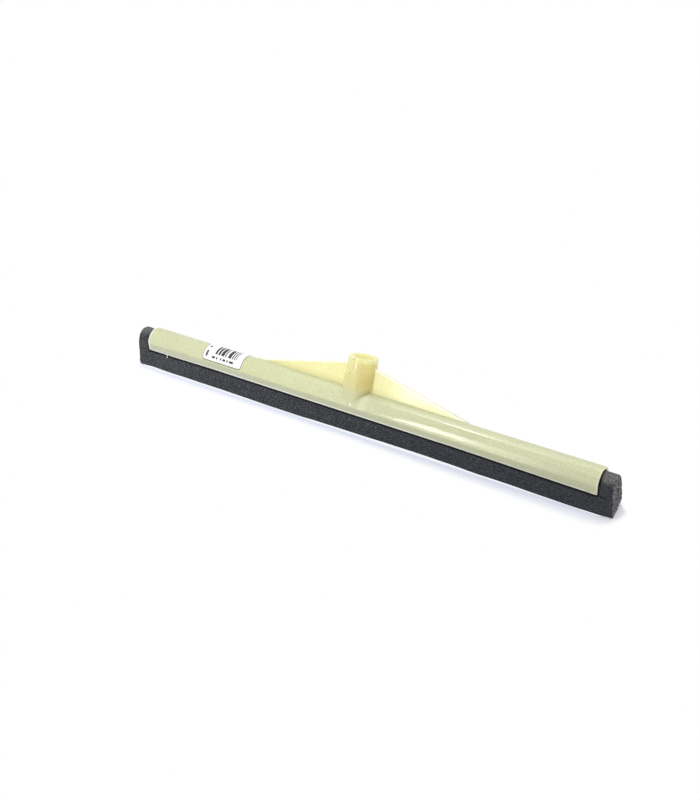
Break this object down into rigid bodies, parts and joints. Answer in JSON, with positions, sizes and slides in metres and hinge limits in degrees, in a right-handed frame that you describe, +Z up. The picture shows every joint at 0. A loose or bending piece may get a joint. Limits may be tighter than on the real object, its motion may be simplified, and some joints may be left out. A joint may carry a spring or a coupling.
{
  "type": "floor squeegee head",
  "caption": "Long floor squeegee head: a translucent moulded channel with a leaning round handle socket and gusset webs, gripping a split black foam blade, with a paper label.",
  "frame": {"origin": "on the floor, under the middle of the moulded channel's length and width", "axes": "+X along the blade, +Y to the rear, the way the handle socket leans, +Z up from the floor"},
  "size_m": [0.5539, 0.043, 0.0763],
  "materials": {
    "natural_plastic": "natural polypropylene, slightly translucent, satin gloss",
    "black_foam": "closed-cell foam rubber, matt, smooth skin with rough cut ends",
    "white_paper": "matt adhesive paper label with plain dark bars"
  },
  "bodies": {
    "root": {"channel_body": "natural_plastic", "foam_blade": "black_foam", "paper_label": "white_paper"}
  },
  "joints": []
}
